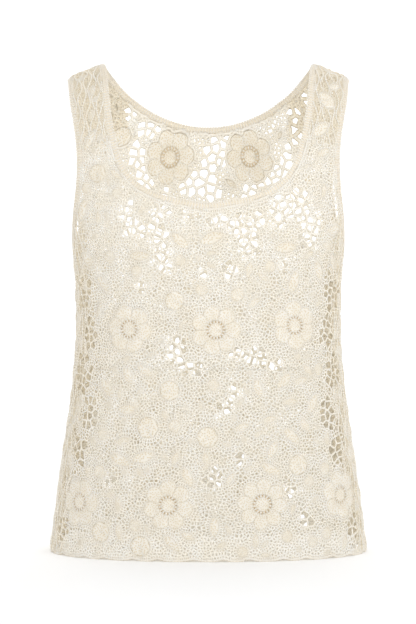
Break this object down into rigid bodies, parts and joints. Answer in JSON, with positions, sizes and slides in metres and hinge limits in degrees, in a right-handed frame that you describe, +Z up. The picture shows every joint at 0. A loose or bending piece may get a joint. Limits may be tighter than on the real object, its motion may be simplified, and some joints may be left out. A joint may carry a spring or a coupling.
{
  "type": "lace tank top",
  "caption": "Sleeveless crochet lace top in its worn, hollow form, with a deep scoop neck, wide straps, edge bands and a scalloped hem",
  "frame": {"origin": "midway between the two shoulder seams, at the height where the neck edge meets them: where a wearer carries the top", "axes": "+Z up, the front of the top faces -Y, +X is the wearer's left"},
  "size_m": [0.3662, 0.2394, 0.5677],
  "materials": {
    "lace": "matt cream cotton thread",
    "edging": "matt cream cotton thread, closely crocheted"
  },
  "bodies": {
    "root": {"front_panel": "lace", "back_panel": "lace", "neck_band": "edging", "armhole_band_left": "edging", "armhole_band_right": "edging"}
  },
  "joints": []
}
